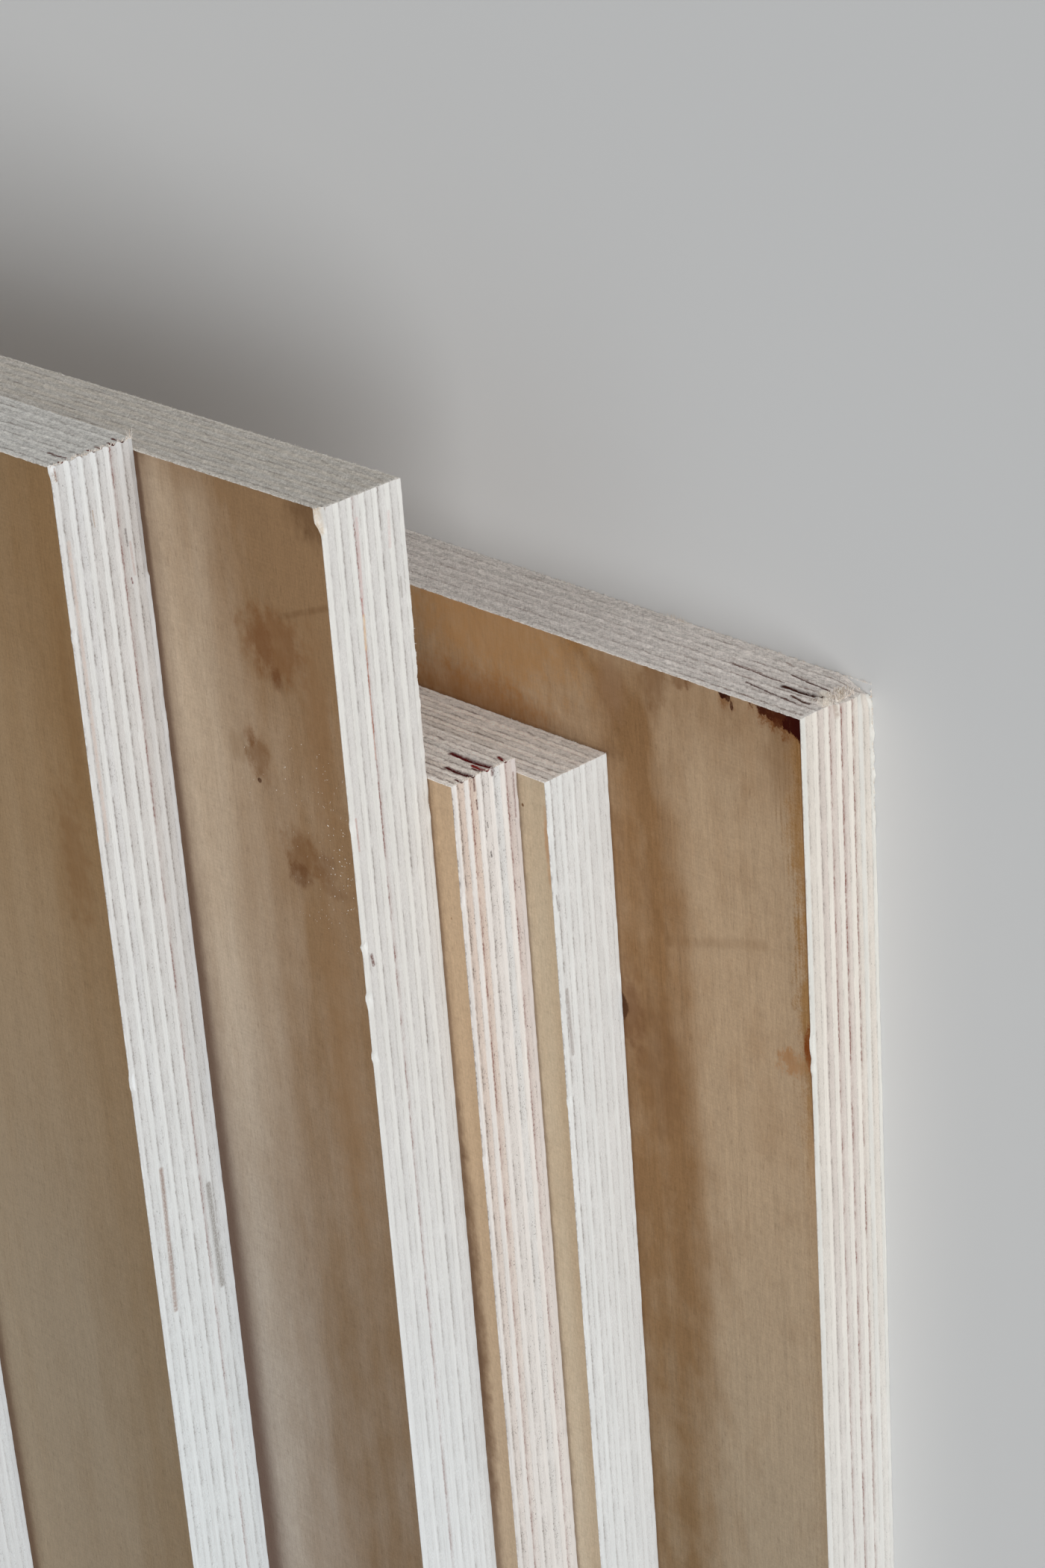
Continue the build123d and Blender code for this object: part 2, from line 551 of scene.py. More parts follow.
# Marks on the faces: oval's middle, its radii, colour, strength, how ragged and how soft its rim is
FACE_MARKS = {
    1: [
        ((74, 3), (34, 16), (178, 132, 82), 0.6, 0.8, 0.9),
        ((80, 18), (28, 8), (150, 94, 36), 0.5, 0.8, 0.9),
        ((44, 6), (4.5, 9), (152, 120, 92), 0.6, 0.8, 0.9),
        ((5.5, 8), (4, 12), (122, 88, 54), 0.3, 0.8, 0.8),
        ((33.5, 3), (4.5, 8), (118, 82, 50), 0.5, 1.4, 0.9),
        ((27, 0.6), (3.2, 2.2), (112, 72, 38), 0.5, 1.6, 0.8),
        ((4.2, 0.8), (7, 4.2), (118, 70, 32), 0.8, 1.6, 0.6),
        ((2, 0.2), (4.4, 3.3), (54, 12, 3), 1.1, 1.3, 0.25),
        ((0.1, 1.2), (1.3, 3.4), (50, 10, 3), 1.1, 1, 0.3),
        ((6.6, 0.4), (3.4, 1.5), (72, 32, 14), 1, 2.4, 0.3),
        ((5, 2.2), (1.2, 1.2), (84, 42, 20), 0.9, 1.6, 0.4),
        ((16.8, 0.9), (2.6, 3), (126, 82, 44), 0.7, 1.5, 0.8),
        ((17.5, 0.1), (1.1, 1.1), (56, 22, 10), 1, 1, 0.3),
        ((16.2, 0.6), (0.75, 1.1), (62, 28, 14), 1, 1.2, 0.35),
        ((15.5, 1.9), (0.5, 1), (70, 34, 18), 0.95, 1.2, 0.4),
        ((0.4, 62), (1.5, 6), (122, 64, 24), 0.9, 1.8, 0.5),
        ((4.4, 66), (5.2, 3), (158, 108, 60), 0.6, 2, 0.7),
        ((46, 69.2), (2, 3.2), (12, 5, 3), 1.2, 0.6, 0.4),
        ((44, 70), (5.4, 13), (112, 76, 50), 0.55, 1.2, 0.9),
        ((37, 78), (8, 19), (118, 86, 58), 0.45, 0.8, 0.9),
    ],
    2: [
        ((6, 6), (0.34, 0.42), (112, 78, 50), 0.9, 0.2, 0.5),
        ((0.5, 12), (0.8, 9), (176, 130, 92), 0.6, 1, 0.8),
    ],
    3: [
        ((3, 26), (0.2, 0.3), (150, 116, 84), 0.8, 0.2, 0.5),
        ((5, 110), (2.6, 60), (124, 98, 74), 0.7, 0.6, 0.9),
    ],
    4: [
        ((2, 1), (9, 8), (96, 68, 44), 0.6, 0.8, 0.9),
        ((16, 28), (10.6, 8.8), (126, 86, 52), 0.62, 1.2, 0.7),
        ((18.6, 28.4), (3.4, 5.6), (118, 76, 44), 0.45, 1.2, 0.8),
        ((15.8, 34.4), (2.2, 2.8), (104, 64, 36), 0.5, 1, 0.8),
        ((22.9, 50.4), (4.2, 6.2), (124, 88, 56), 0.66, 1.3, 0.8),
        ((24.6, 46.8), (2.4, 2.6), (116, 76, 42), 0.55, 1, 0.8),
        ((28.2, 50), (4.4, 4), (132, 104, 74), 0.3, 1.2, 0.9),
        ((23.3, 55), (0.6, 0.6), (78, 46, 28), 0.9, 0.6, 0.4),
        ((13.8, 66.4), (7, 6.6), (120, 82, 48), 0.62, 1.4, 0.8),
        ((14.6, 70.6), (4.2, 3), (102, 66, 40), 0.5, 1, 0.8),
        ((7.6, 66.6), (3.8, 3.8), (114, 80, 52), 0.5, 1.2, 0.9),
        ((5.6, 71), (5.4, 2.4), (114, 80, 52), 0.4, 1.4, 0.9),
        ((6, 40), (5, 26), (140, 104, 70), 0.4, 1, 0.9),
        ((8, 105), (6, 50), (150, 116, 82), 0.35, 1, 0.9),
    ],
    5: [
        ((8, 75), (6, 20), (128, 94, 60), 0.5, 1.2, 0.9),
        ((3, 45), (3, 30), (130, 98, 64), 0.4, 1, 0.9),
    ],
}

# Faint lines on the faces: from, to, width, colour, strength
FACE_LINES = {
    1: [
        ((0.1, 4), (0.1, 80), 0.5, (92, 54, 22), 0.6),
        ((33, 52), (10, 45), 1.5, (126, 94, 62), 0.25),
        ((46, 30), (33, 52), 1.6, (116, 82, 50), 0.25),
        ((9.4, 0.5), (8, 0.7), 0.7, (66, 28, 14), 0.9),
        ((26, 0), (25.6, 1.6), 0.5, (104, 64, 34), 0.6),
    ],
    4: [((13, 22), (0, 17.2), 0.9, (108, 76, 48), 0.4)],
}


def face_tone(place, inward, down, clouds, bands):
    """Gives how deep the tone is at a place on the face, from 0 to 1, before the grain."""
    if place.number == 1:
        middle = 33.5 + (down * -0.07).maths("EXPONENT") * 17
        off = inward - middle + clouds * 9 + bands * 3
        brown = off.spread(-13, 2) * (1 - off.spread(0, 14) * down.spread(46, 5) * 0.7)
        heart = off.maths("ABSOLUTE").spread(6, 0) * 0.15
        figure = (off * 1.1).maths("SINE") * off.maths("ABSOLUTE").spread(26, 6) * 0.05
        head = down.spread(26, 0) * inward.spread(52, 36) * 0.42
        return brown * 0.85 + heart + figure + head + bands * 0.4 + clouds * 0.6
    if place.number == 4:
        # Sheet 4's face goes paler towards the foot of sheet 5, as painted light thrown back from that
        # sheet's bright end edge, and deeper towards its own end edge
        near_edge = (inward + clouds * 9).spread(46, 12)
        head = down.spread(50, 0) * 0.25 + down.spread(7, 0) * 0.22
        return near_edge * 0.9 + head + bands * 0.7
    if place.number == 5:
        return (inward + clouds * 8).spread(30, 2) * 0.7 + down.spread(120, 10) * 0.3 + bands
    if place.number == 2:
        return inward.spread(4.5, 0.4) * 0.4 + bands + 0.2
    if place.number == 3:
        return inward.spread(4.5, 0.4) * 0.2 + bands + 0.35
    return bands * 1.2 + 0.45


def broad_figure(place, mm, bands):
    """Gives the long flames of a peeled veneer, from 0 to 1, another figure on each sheet."""
    elsewhere = mm.vector("ADD", (0, 0, 400 * place.number))
    swell = elsewhere.noise((0.007, 0.0013, 0.02), 2, 0.55)
    flames = (swell * 90 + bands * 5).maths("SINE")
    return flames * 0.14 + swell.spread(0.35, 0.65) * 0.3 + bands * 0.7 + 0.28


def face_finish(place, above):
    """Makes the sanded face: cloudy bands, fine short fibres, scratches, flecks, old marks, and painted
    shade at the foot of the sheet above.
    """
    material, shader, mm = start_material(f"{place.sheet}_face", place)
    pale, deep, ink, shift = FACES[place.number]
    inward, down, _ = numbers(mm)
    clouds = mm.noise((0.05, 0.016, 0.1), 2, 0.5) - 0.5
    bands = mm.noise((0.15, 0.02, 0.1), 2, 0.58) - 0.5
    mottle = mm.noise((0.16, 0.1, 0.1), 3, 0.62) - 0.5
    fibres = mm.noise((3, 0.45, 1), 2, 0.62) - 0.5
    scratches = mm.noise((0.1, 2.6, 1), 1, 0.6) - 0.5
    specks = mm.noise((2.8, 2.2, 0.5), 2, 0.75) - 0.5
    threads = mm.noise((1.3, 0.045, 0.1), 2, 0.65) - 0.5
    blots = mm.noise((0.5, 0.34, 0.1), 3, 0.62) - 0.5

    mottled, threaded = (0.9, 0.34) if place.number == 1 else (0.35, 0.18)
    depth = face_tone(place, inward, down, clouds, bands) + mottle * mottled
    base = depth.clamped().blend(colour(*pale), colour(*deep))
    lined = (fibres.spread(0.12, 0.24) * 0.16).blend(base, colour(*ink))
    shade = 1 - fibres * 0.36 + scratches * 0.14 + specks * 0.42 - blots * 0.08
    shade = shade + threads * threaded
    far = down.spread(50, 200).blend((1, 1, 1, 1), (*shift, 1))
    flames = broad_figure(place, mm, bands)
    plain = flames.clamped().blend(colour(*PLAIN_PALE), colour(*PLAIN_DEEP))
    beyond = down.spread(*PLAIN_DOWN_FACES).maths("MAXIMUM", inward.spread(*PLAIN_IN_FACES))
    if place.number == 6:
        beyond = beyond * 0.2 + 0.8
    face = beyond.blend(lined.vector("MULTIPLY", far), plain).shaded(shade)

    if place.number == 1:
        face = face.shaded(1 - inward.spread(11, 2) * down.spread(90, 60) * 0.09)
        reach = down.spread(20, 34, 5.6, 3.4)
        wavering = inward + mottle * 6 + blots * 5 + specks * 4 + threads * 5
        rim = (wavering / reach).spread(1.1, 0)
        golden = face.vector("MULTIPLY", GOLDEN_RIM)
        face = (rim * down.spread(100, 60, 0.15, 0.9)).blend(face, golden)
    ragged_specks = blots * 0.9 + specks * 0.45
    for middle, radii, stain, strength, ragged, soft in FACE_MARKS.get(place.number, ()):
        inside = 1 - mm.away((*middle, place.thick), (*radii, 0.8)) + ragged_specks * ragged
        mark = inside.spread(0, soft * 0.8) * (specks * 0.7 + blots * 0.9 + 0.95) * strength
        face = mark.blend(face, colour(*stain))
    for start, end, wide, stain, strength in FACE_LINES.get(place.number, ()):
        line = mm.stroke((*start, place.thick), (*end, place.thick), wide)
        line = line * (0.8 + ragged_specks * 1.6) * strength
        face = line.blend(face, colour(*stain))
    # Painted shade along the foot of the sheet above: a soft band, and a darker core at the contact line
    if above:
        foot = place.mm(above.corner)
        wide, widening, dark, reach = FEET[place.number]
        width = down.maths("MINIMUM", 220) * widening + wide
        strength = beyond.spread(0, 1, dark, dark * FOOT_FAR_SHARE)
        for far_end in (above.point(0, FOOT_DOWN, 0), above.point(FOOT_IN, 0, 0)):
            run = place.mm(far_end)
            soft_shade = mm.stroke(foot, run, width + reach + blots * 3) * strength * 0.42
            deep_shade = mm.stroke(foot, run, width + blots) * strength * 0.8
            face = soft_shade.blend(face, colour(*FOOT_SOFT_SHADE))
            face = deep_shade.blend(face, colour(*FOOT_DEEP_SHADE))
    dress(shader, face, 0.6, 0.05)
    feed(shader, "Normal", (fibres * 0.8 + specks * 0.4).bump(0.3, 0.08))
    return material


def take(piece):
    """Makes one piece the selected, active one."""
    bpy.ops.object.select_all(action="DESELECT")
    piece.select_set(True)
    bpy.context.view_layer.objects.active = piece


def switch(mode):
    """Switches between working on whole pieces and on a mesh."""
    bpy.ops.object.mode_set(mode=mode)


def merged_copy(node, name):
    """Copies a CAD node's mesh into a new piece, with its triangles merged into flat faces."""
    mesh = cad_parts[node].data.copy()
    piece = bpy.data.objects.new(name, mesh)
    bpy.context.scene.collection.objects.link(piece)
    take(piece)
    bpy.ops.mesh.customdata_custom_splitnormals_clear()
    switch("EDIT")
    bpy.ops.mesh.select_all(action="SELECT")
    bpy.ops.mesh.remove_doubles(threshold=0.000001)
    bpy.ops.mesh.dissolve_limited(angle_limit=math.radians(0.5))
    switch("OBJECT")
    return piece


def divide(piece, place, cuts_for):
    """Divides each edge by the number of cuts that cuts_for gives for its two ends."""

    def middle_of(edge):
        return tuple(round(c * 1e6) for c in (edge.verts[0].co + edge.verts[1].co) / 2)

    shape = bmesh.from_edit_mesh(piece.data)
    ends = {v: place.mm(v.co) for v in shape.verts}
    wanted = {}
    for edge in shape.edges:
        cuts = cuts_for(ends[edge.verts[0]], ends[edge.verts[1]])
        if cuts:
            wanted.setdefault(cuts, set()).add(middle_of(edge))
    for cuts, middles in wanted.items():
        bpy.ops.mesh.select_all(action="DESELECT")
        shape = bmesh.from_edit_mesh(piece.data)
        for edge in shape.edges:
            edge.select = middle_of(edge) in middles
        bmesh.update_edit_mesh(piece.data)
        bpy.ops.mesh.subdivide(number_cuts=cuts)
    return bool(wanted)


def join_flats(piece):
    """Joins each veneer's flat top, and its flat underside, into one face again."""
    bpy.ops.mesh.select_mode(type="FACE")
    bpy.ops.mesh.select_all(action="DESELECT")
    shape = bmesh.from_edit_mesh(piece.data)
    shape.normal_update()
    for face in shape.faces:
        face.select = abs(face.normal.z) > 0.99
    bmesh.update_edit_mesh(piece.data)
    bpy.ops.mesh.dissolve_faces()
    bpy.ops.mesh.select_mode(type="EDGE")


def divide_rim(piece, place):
    """Divides each veneer's sawn rim, finely near the seen corner and coarsely elsewhere."""
    width = place.width
    length = place.length

    def run_of(a, b):
        """Gives how far an edge runs along the rim, and the step that this part of the rim needs."""
        if abs(a[0] + b[0]) < 1 or abs(a[0] + b[0] - 2 * width) < 1:
            seen = a[0] + b[0] < width and max(a[1], b[1]) < SEEN_DOWN + 1
            return abs(a[1] - b[1]), END_STEP if seen else FAR_STEP
        if abs(a[1] + b[1]) < 1 or abs(a[1] + b[1] - 2 * length) < 1:
            seen = a[1] + b[1] < length and max(a[0], b[0]) < SEEN_IN + 1
            return abs(a[0] - b[0]), TOP_STEP if seen else FAR_STEP
        return 0, FAR_STEP

    def lengthwise(a, b):
        span, step = run_of(a, b)
        return min(round(span / step), MOST_PARTS) - 1 if span > 1.5 * step else 0

    def through(a, b):
        seen = a[0] + b[0] < 2 * SEEN_IN and a[1] + b[1] < 2 * SEEN_DOWN
        return STRIPS[place.number] - 1 if seen and abs(a[2] - b[2]) > UPRIGHT else 0

    switch("EDIT")
    bpy.ops.mesh.select_mode(type="EDGE")
    for limit, normal in (((0, SEEN_DOWN, 0), (0, 1, 0)), ((SEEN_IN, 0, 0), (1, 0, 0))):
        bpy.ops.mesh.select_all(action="SELECT")
        direction = place.matrix.to_3x3() @ Vector(normal)
        bpy.ops.mesh.bisect(plane_co=place.point(*limit), plane_no=direction)
    while divide(piece, place, lengthwise):
        pass
    join_flats(piece)
    divide(piece, place, through)
    switch("OBJECT")


def push(piece, place, direction, distance, weigh, grain=0):
    """Pushes points by a distance in mm: evenly, or by a cloudy noise where a grain size is given."""
    group = piece.vertex_groups.new(name="pushed")
    for vertex in piece.data.vertices:
        weight = weigh(*place.mm(vertex.co))
        if weight > 0.001:
            group.add([vertex.index], min(weight, 1), "REPLACE")
    take(piece)
    modifier = piece.modifiers.new("pushed", "DISPLACE")
    if grain:
        texture = bpy.data.textures.new("cloudy", "CLOUDS")
        texture.noise_scale = grain / 1000
        texture.noise_depth = 2
        modifier.texture = texture
        modifier.texture_coords = "LOCAL"
    modifier.vertex_group = "pushed"
    modifier.direction = direction
    modifier.mid_level = 0.5 if grain else 0
    modifier.strength = distance / 1000
    bpy.ops.object.modifier_apply(modifier="pushed")
    piece.vertex_groups.remove(piece.vertex_groups["pushed"])


def near(value, middle, reach):
    """Gives 1 at the middle and 0 beyond the reach, smoothly."""
    share = min(abs(value - middle) / reach, 1)
    return (1 - share) ** 2 * (1 + 2 * share)


def on_end(place, inward):
    """Tells whether a point is on the seen or the far end edge."""
    return min(abs(inward), abs(inward - place.width)) < EASE + 0.03


def on_top(place, down):
    """Tells whether a point is on the top edge or the one opposite."""
    return min(abs(down), abs(down - place.length)) < EASE + 0.03


# Where the arris between the end edge and the underside is torn most: from, to, how much
TORN = {
    1: (0, 34, 1.1),
    3: (0, 12, 0.4),
    4: (22, 62, 0.6),
    5: (25, 60, 0.2),
}

# Nicks in the arris between the face and the end edge: down, half length, depth
DEEPEST_NICK = 1.6
NICKS = {
    1: [(61, 2.5, 0.3), (65.5, 1.6, 0.25)],
    2: [(9, 1.2, 0.12), (62.9, 1, 0.2)],
    3: [(22, 1.5, 0.15), (74, 2, 0.15)],
    4: [(0, 5, 1.5), (80, 1, 0.45), (90.2, 1.4, 0.4), (101.5, 1.2, 0.35), (57, 1, 0.2)],
    5: [(0, 2.5, 0.5), (31, 1.2, 0.2), (118, 2, 0.3)],
}


def roughen(piece, place):
    """Makes the sawn edges uneven, and nicks and tears their arrises."""

    def ends(inward, down, height):
        return float(on_end(place, inward))

    def tops(inward, down, height):
        return float(on_top(place, down))

    def torn(inward, down, height):
        start, end, more = TORN.get(place.number, (0, 0, 0))
        return near(height, 0, 1) * on_end(place, inward) * (0.3 + more * (start < down < end))

    def torn_top(inward, down, height):
        return near(height, 0, 1.2) * on_top(place, down) * (1 if place.number == 1 else 0.35)

    def nicked(inward, down, height):
        if height < place.thick - 0.7 or not -0.2 < inward < 0.3:
            return 0
        nicks = NICKS.get(place.number, ())
        sunk = [min(near(down, at, long) * 2.2, 1) * deep / DEEPEST_NICK for at, long, deep in nicks]
        return max(sunk, default=0)

    push(piece, place, "X", 0.06, ends, 1.2)
    push(piece, place, "X", 0.05, ends, 9)
    push(piece, place, "Y", 0.26, tops, 0.8)
    push(piece, place, "Y", 0.1, tops, 4)
    if "face" in piece.name:
        push(piece, place, "X", 0.8, torn, 2.2)
        push(piece, place, "Y", 0.6, torn_top, 1)
        push(piece, place, "X", -DEEPEST_NICK, nicked)
        push(piece, place, "X", 0.5, nicked, 0.7)


def split(piece, place):
    """Opens the splits in the top edge by sinking the points along them. Pale ridges stay."""
    splits = [stroke for stroke in SPLITS.get(place.number, ()) if stroke[3][0] < PALEST_SPLIT]

    def sunk(inward, down, height):
        if down > 0.8:
            return 0
        deepest = 0
        for start, end, wide, _ in splits:
            share = (start[0] - inward) / (start[0] - end[0])
            if -0.1 < share < 1.05:
                level = start[2] + (end[2] - start[2]) * share
                deepest = max(deepest, near(height, level, wide) * near(share, 0.6, 0.7) * min(wide, 1))
        return deepest

    if splits:
        push(piece, place, "Y", -0.7, sunk)


def batter(piece, place):
    """Knocks the seen corners as the photograph shows them."""

    def level_of(height):
        """Gives a height counted in veneers. Whole and even is where a long ply starts."""
        return (height + INNER_VENEER - FACE_VENEER) / INNER_VENEER

    def crushed(inward, down, height):
        return near(height, 0, 4.2) * near(down, 0, 4.5) * near(inward, 0, 7)

    def crumbled(inward, down, height):
        return near(inward, 0, 5) * near(down, 0, 1) * near(height, 5, 8.5)

    def ridge(inward, down, height):
        return near(inward, 2, 2.2) * near(height, 9.8, 2.8) * (down < 2.5)

    def torn_out(inward, down, height):
        return near(height, 0, 1.3) * (0.4 < down < 30) * (inward < 0.6)

    def tips(inward, down, height):
        level = level_of(height)
        long_ply = int(level) % 2 == 0
        if down > 0.6 or inward > 2.4:
            return 0
        rounded = 1 - (2 * (level % 1) - 1) ** 2
        return near(inward, 0, 2.4) * (0.35 + 0.65 * rounded) if long_ply else 0

    def hollows(inward, down, height):
        cross_ply = int(level_of(height)) % 2 == 1
        return near(inward, 0, 2) * (down < 0.6) if cross_ply else 0

    def stepped(inward, down, height):
        return near(height, 0, 1.3) * (down < 24.5) * (inward < 0.6)

    if place.number == 1:
        push(piece, place, "Y", -2, crushed)
        push(piece, place, "X", -1.4, crushed)
        push(piece, place, "Y", -0.9, crumbled)
        push(piece, place, "Y", 1.6, crumbled, 1.1)
        push(piece, place, "Y", 0.5, ridge)
        push(piece, place, "Y", 1.6, ridge, 0.6)
        push(piece, place, "X", 0.9, torn_out, 0.9)
    if place.number == 5:
        push(piece, place, "Y", 0.15, tips)
        push(piece, place, "Y", 0.6, tips, 0.7)
        push(piece, place, "Y", -0.12, hollows)
        push(piece, place, "X", -0.4, stepped)


def paint(piece, place, finishes):
    """Gives the flat faces, the end edges and the top edges their finishes."""
    piece.data.materials.clear()
    for finish in finishes:
        piece.data.materials.append(finish)
    turned = place.back.to_3x3()
    for face in piece.data.polygons:
        normal = turned @ face.normal
        if abs(normal.z) > 0.97:
            face.material_index = 0
        else:
            face.material_index = 1 if abs(normal.x) > abs(normal.y) else 2


def ease(piece, place):
    """Eases the sheet's outer arrises and its upright corners."""
    switch("EDIT")
    bpy.ops.mesh.select_mode(type="EDGE")
    bpy.ops.mesh.select_all(action="DESELECT")
    shape = bmesh.from_edit_mesh(piece.data)
    for edge in shape.edges:
        low, high = sorted(place.mm(v.co)[2] for v in edge.verts)
        edge.select = high - low > UPRIGHT or high < 0.01 or low > place.thick - 0.01
    bmesh.update_edit_mesh(piece.data)
    bpy.ops.mesh.bevel(offset=EASE / 1000, segments=2, affect="EDGES")
    switch("OBJECT")


def veneers(place, kind, finishes):
    """Models one CAD node of a sheet again, with eased and uneven sawn edges."""
    node = f"{place.sheet}_{kind}"
    piece = merged_copy(node, f"{node}_sawn")
    ease(piece, place)
    divide_rim(piece, place)
    paint(piece, place, finishes)
    roughen(piece, place)
    split(piece, place)
    batter(piece, place)
    take(piece)
    bpy.ops.object.shade_smooth_by_angle(angle=math.radians(25))
    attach(piece, "root")
    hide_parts(node)


for place in PLACES.values():
    above = PLACES.get(place.number + 1)
    finishes = [face_finish(place, above), end_edge(place), top_edge(place)]
    for kind, slot in KINDS.items():
        veneers(place, kind, finishes)


# The tones of torn wood
SPLINTER_PALE = (240, 234, 226)
SPLINTER_DEEP = (214, 198, 182)

# Torn fibres: sheet, how many, from and to, where they lean, the shortest and longest in mm,
# and how thick they are
FIBRES = [
    (5, 90, (0.2, 0.1, 0.4), (0.5, 0.1, 17.4), (-0.3, -1, 0), (0.3, 0.9), 0.13),
    (5, 7, (0.1, 0.1, 0.2), (0.5, 0.1, 0.9), (-0.1, -1, -0.3), (1.2, 2.2), 0.09),
    (5, 16, (0.1, 0.3, 16.8), (0.1, 3, 17.6), (-1, -0.6, 0.3), (0.3, 0.7), 0.12),
    (5, 12, (0.7, 4, 0.2), (0.7, 24, 0.2), (-0.6, 0.4, -1), (0.3, 0.6), 0.1),
    (5, 18, (0.25, 26, 0.1), (0.25, 60, 0.1), (-0.6, 0.4, -1), (0.3, 0.6), 0.1),
    (5, 90, (0, 0.1, 17.7), (40, 0.1, 17.7), (0.3, -0.8, 0.6), (0.15, 0.4), 0.08),
    (1, 300, (0, 0.1, 0.2), (85, 0.1, 0.3), (0.4, -1, 0.1), (0.25, 0.7), 0.08),
    (1, 34, (41, 0.1, 0.1), (47, 0.1, 0.5), (0.4, -1, 0.1), (0.7, 1.6), 0.06),
    (1, 220, (0, 0.1, 17.7), (75, 0.1, 17.75), (0.3, -0.8, 0.6), (0.15, 0.45), 0.08),
    (1, 150, (0.2, 0.3, 3.5), (3.8, 0.5, 12), (-0.4, -1, 0.1), (0.5, 1.7), 0.16),
    (1, 70, (0.1, 1.5, 0.3), (0.1, 26, 0.4), (-1, 0.2, 0.1), (0.2, 0.6), 0.1),
    (2, 50, (0, 0.1, 0.1), (24, 0.1, 0.1), (0.3, -0.8, -0.6), (0.15, 0.4), 0.08),
    (2, 30, (0.1, 0.1, 0.3), (0.1, 0.1, 14.7), (-0.3, -1, 0), (0.15, 0.4), 0.09),
    (3, 70, (0.2, 0.1, 0.4), (0.4, 0.1, 14.6), (-0.3, -1, 0), (0.25, 0.7), 0.12),
    (4, 140, (0, 0.1, 0.1), (75, 0.1, 0.1), (0.3, -0.8, -0.6), (0.15, 0.45), 0.08),
    (4, 60, (0.25, 14, 0.2), (0.3, 70, 0.2), (-0.6, 0.3, -0.8), (0.3, 0.6), 0.12),
    (4, 30, (0.2, 0.1, 0.2), (0.2, 0.1, 17.4), (-0.3, -1, 0), (0.15, 0.4), 0.09),
    (4, 50, (0.4, 45, 17.8), (14, 78, 17.8), (0, 1, 0.15), (0.2, 0.5), 0.05),
]

# Crumbs of wood: sheet, how many, from and to, the smallest and largest in mm
CRUMBS = [
    (4, 34, (1, 57, 17.8), (6.5, 74, 17.8), (0.12, 0.34)),
    (4, 60, (1, 44, 17.8), (17, 84, 17.8), (0.07, 0.2)),
    (4, 10, (12, 48, 17.8), (29, 60, 17.8), (0.12, 0.26)),
    (1, 40, (0.1, 0.8, 0.3), (0.3, 24, 0.3), (0.18, 0.5)),
    (1, 34, (0.3, 0.3, 2), (4, 0.3, 13), (0.18, 0.5)),
    (5, 18, (0.2, 0.1, 0.6), (0.5, 0.1, 17), (0.14, 0.36)),
    (3, 14, (0.2, 0.1, 0.6), (0.5, 0.1, 14), (0.14, 0.34)),
]


def pale_splinters():
    """Makes the pale, dry wood of torn fibres and crumbs."""
    material, shader, mm = start_material("torn_fibres", PLACES[1])
    streaks = mm.noise((1.5, 1.5, 1.5), 2, 0.6)
    wood = streaks.spread(0.3, 0.7).blend(colour(*SPLINTER_PALE), colour(*SPLINTER_DEEP))
    dress(shader, wood, 0.85, 0.2)
    return material


def one_fibre(bend):
    """Models one torn fibre, 1 long and 1 thick, standing upright and bending over towards its tip."""
    bpy.ops.mesh.primitive_cone_add(vertices=5, radius1=0.5, radius2=0.12, depth=1, location=(0, 0, 0.5))
    piece = bpy.context.object
    bpy.ops.object.transform_apply(location=True, rotation=False, scale=False)
    switch("EDIT")
    for share in (0.25, 0.5, 0.75):
        bpy.ops.mesh.select_all(action="SELECT")
        bpy.ops.mesh.bisect(plane_co=(0, 0, share), plane_no=(0, 0, 1))
    switch("OBJECT")
    return finish_scrap(piece, "BEND", bend)


def one_crumb(twist):
    """Models one crumb of wood, 1 across and flatter than it is wide."""
    bpy.ops.mesh.primitive_ico_sphere_add(subdivisions=2, radius=0.5)
    piece = bpy.context.object
    texture = bpy.data.textures.new("crumb", "CLOUDS")
    texture.noise_scale = 0.5
    modifier = piece.modifiers.new("rough", "DISPLACE")
    modifier.texture = texture
    modifier.strength = 0.7
    bpy.ops.object.modifier_apply(modifier="rough")
    switch("EDIT")
    bpy.ops.mesh.select_all(action="SELECT")
    bpy.ops.transform.resize(value=(1.0, 0.7, 0.45))
    switch("OBJECT")
    return finish_scrap(piece, "TWIST", twist)


def finish_scrap(piece, method, angle):
    """Bends or twists a fibre or crumb."""
    modifier = piece.modifiers.new("shaped", "SIMPLE_DEFORM")
    modifier.deform_method = method
    modifier.deform_axis = "X" if method == "BEND" else "Z"
    modifier.angle = math.radians(angle)
    bpy.ops.object.modifier_apply(modifier="shaped")
    return piece


def strew(name, place, shapes, spots, finish):
    """Puts a copy of a shape at each spot, turned and scaled, and joins the copies into one piece."""
    turned = place.matrix.to_3x3()
    copies = []
    for number, (spot, lean, roll, size) in enumerate(spots):
        shape = shapes[number % len(shapes)]
        copy = bpy.data.objects.new(name, shape.data.copy())
        bpy.context.scene.collection.objects.link(copy)
        towards = turned @ Vector((-lean[0], -lean[1], lean[2]))
        leaning = towards.to_track_quat("Z", "Y").to_matrix().to_4x4()
        rolled = Matrix.Rotation(roll, 4, "Z")
        scale = Matrix.Diagonal((*(part / 1000 for part in size), 1))
        copy.matrix_world = Matrix.Translation(place.point(*spot)) @ leaning @ rolled @ scale
        copies.append(copy)
    bpy.ops.object.select_all(action="DESELECT")
    for copy in copies:
        copy.select_set(True)
    bpy.context.view_layer.objects.active = copies[0]
    bpy.ops.object.transform_apply()
    bpy.ops.object.join()
    piece = bpy.context.object
    piece.data.materials.clear()
    piece.data.materials.append(finish)
    bpy.ops.object.shade_smooth_by_angle(angle=math.radians(40))
    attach(piece, "root")


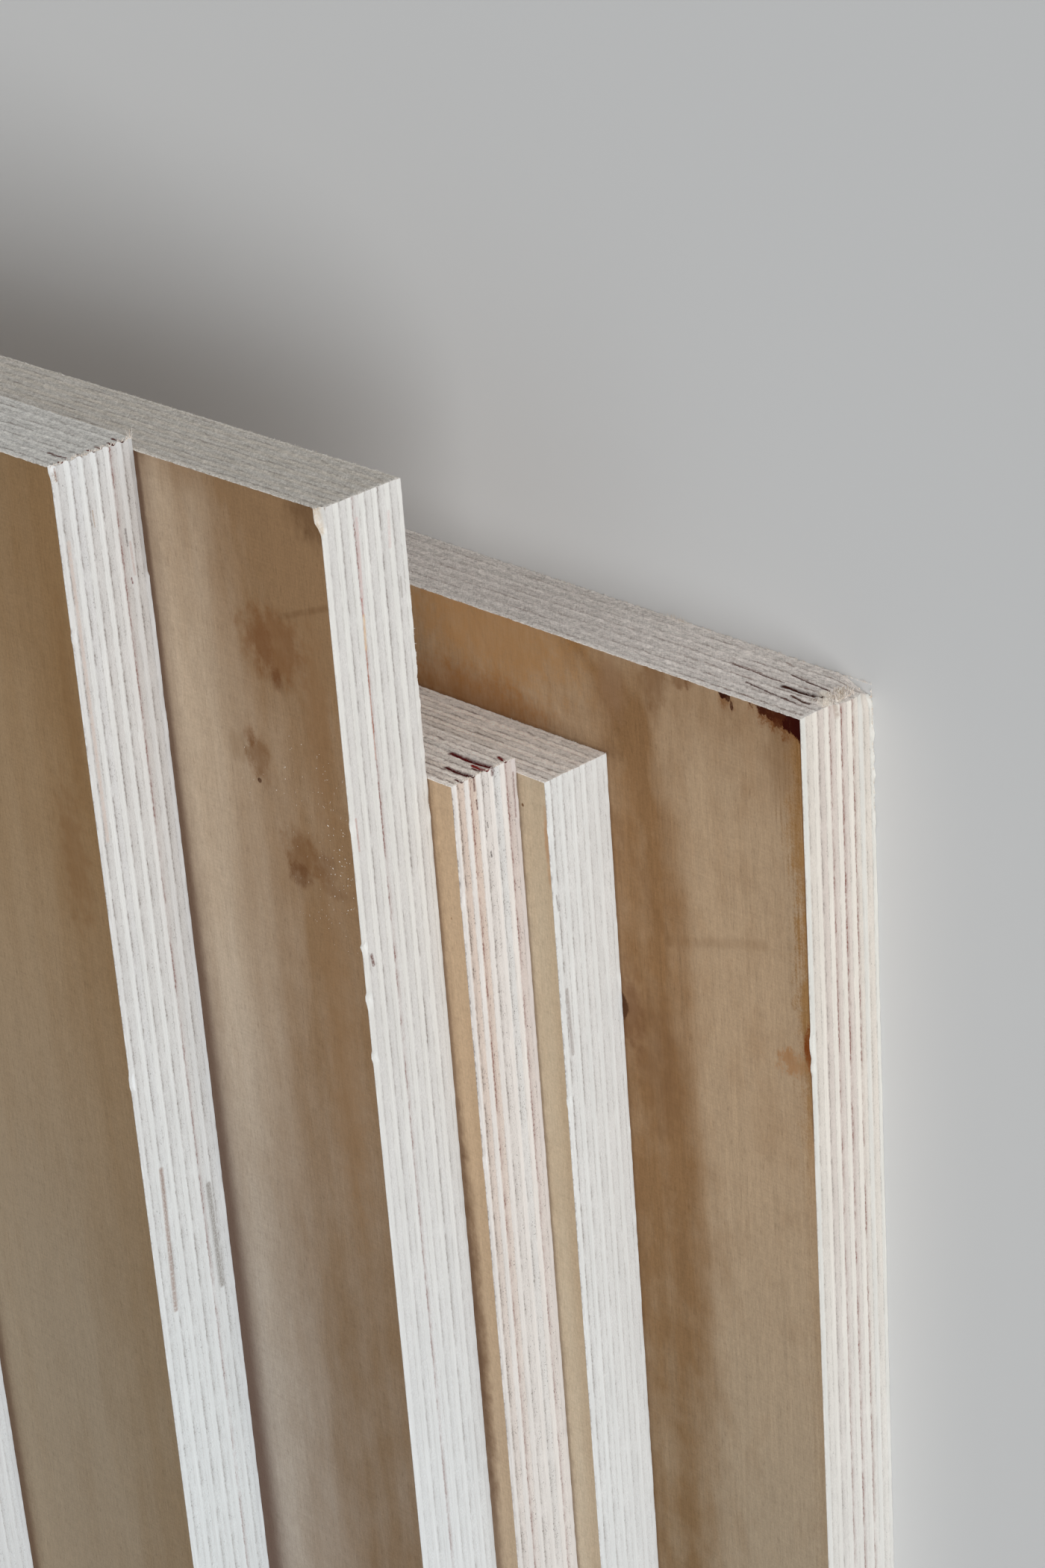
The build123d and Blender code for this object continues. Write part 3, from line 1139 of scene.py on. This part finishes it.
def fibres_and_crumbs():
    """Strews torn fibres along the sawn edges, and crumbs where the wood broke."""
    draw = random.Random(11)
    finish = pale_splinters()
    fibre_shapes = [one_fibre(bend) for bend in (25, 55, 80)]
    crumb_shapes = [one_crumb(twist) for twist in (10, 50, 90)]

    def anywhere(start, end):
        return [draw.uniform(a, b) for a, b in zip(start, end)]

    for place in PLACES.values():
        spots = []
        for owner, count, start, end, lean, lengths, thick in FIBRES:
            for _ in range(count if owner == place.number else 0):
                spot = anywhere(start, end)
                leaning = [part + draw.gauss(0, 0.35) for part in lean]
                if place.number == 1:
                    leaning[2] = abs(leaning[2])
                roll = draw.uniform(0, 6.28)
                spots.append((spot, leaning, roll, (thick, thick, draw.uniform(*lengths))))
        if spots:
            strew(f"{place.sheet}_fibres", place, fibre_shapes, spots, finish)
        spots = []
        for owner, count, start, end, sizes in CRUMBS:
            for _ in range(count if owner == place.number else 0):
                size = draw.uniform(*sizes)
                lean = [draw.gauss(0, 0.4), draw.gauss(0, 0.4), 1.0]
                spots.append((anywhere(start, end), lean, draw.uniform(0, 6.28), (size, size, size)))
        if spots:
            strew(f"{place.sheet}_crumbs", place, crumb_shapes, spots, finish)
    for shape in fibre_shapes + crumb_shapes:
        bpy.data.objects.remove(shape)


fibres_and_crumbs()


# The floor's size in metres and its tone, and the tone of the light in the room
FLOOR_SIZE = 40
FLOOR_TONE = (214, 215, 215)
DAYLIGHT = (0.96, 0.98, 1.0, 1)


def floor():
    """Lays the plain pale floor."""
    bpy.ops.mesh.primitive_plane_add(size=FLOOR_SIZE)
    ground = bpy.context.object
    ground.name = "floor"
    material = bpy.data.materials.new("floor")
    material.use_nodes = True
    shader = material.node_tree.nodes["Principled BSDF"]
    shader.inputs["Base Color"].default_value = colour(*FLOOR_TONE)
    shader.inputs["Roughness"].default_value = 0.9
    ground.data.materials.append(material)


def sun(elevation, azimuth, strength, size):
    """Adds one soft, far lamp. Angles are in degrees, and azimuth 0 faces the end edges."""
    turn = (0, math.radians(90 - elevation), math.radians(azimuth))
    bpy.ops.object.light_add(type="SUN", rotation=turn)
    lamp = bpy.context.object.data
    lamp.energy = strength
    lamp.angle = math.radians(size)


def room(strength):
    """Fills the room with an even pale light."""
    world = bpy.context.scene.world or bpy.data.worlds.new("room")
    bpy.context.scene.world = world
    world.use_nodes = True
    background = world.node_tree.nodes["Background"]
    background.inputs["Color"].default_value = DAYLIGHT
    background.inputs["Strength"].default_value = strength


def camera():
    """Puts the camera where the photograph was taken from."""
    turn = [math.radians(angle) for angle in CAMERA_TURN]
    bpy.ops.object.camera_add(location=CAMERA_AT, rotation=turn)
    made = bpy.context.object
    made.data.sensor_width = 36
    made.data.lens = CAMERA_LENS
    made.data.clip_start = 0.01
    bpy.context.scene.camera = made


floor()
sun(elevation=36, azimuth=0, strength=1.85, size=35)
sun(elevation=12, azimuth=65, strength=0.75, size=30)
room(strength=0.3)
camera()
bpy.context.scene.view_settings.view_transform = "Standard"
